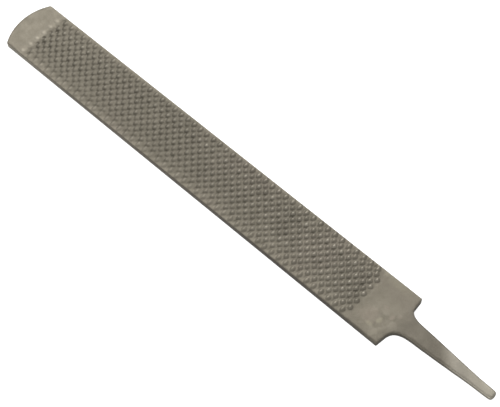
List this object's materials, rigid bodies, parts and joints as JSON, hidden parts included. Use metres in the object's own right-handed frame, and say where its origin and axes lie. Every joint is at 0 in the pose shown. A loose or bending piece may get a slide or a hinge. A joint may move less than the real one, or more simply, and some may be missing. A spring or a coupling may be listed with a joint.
{
  "type": "flat tanged rasp",
  "caption": "one-piece forged steel flat rasp: punched teeth on one broad face, plain toe and heel, and a bare tang for a wooden handle",
  "frame": {"origin": "where the blade's centre line crosses the heel shoulder line, half way through the bar", "axes": "+X along the blade to the toe, +Z out of the toothed face, +Y across the blade"},
  "size_m": [0.4323, 0.0434, 0.0057],
  "materials": {
    "bare_steel": "dull, hardened and cleaned file steel with a warm grey cast"
  },
  "bodies": {
    "root": {"rasp_blank": "bare_steel"}
  },
  "joints": []
}
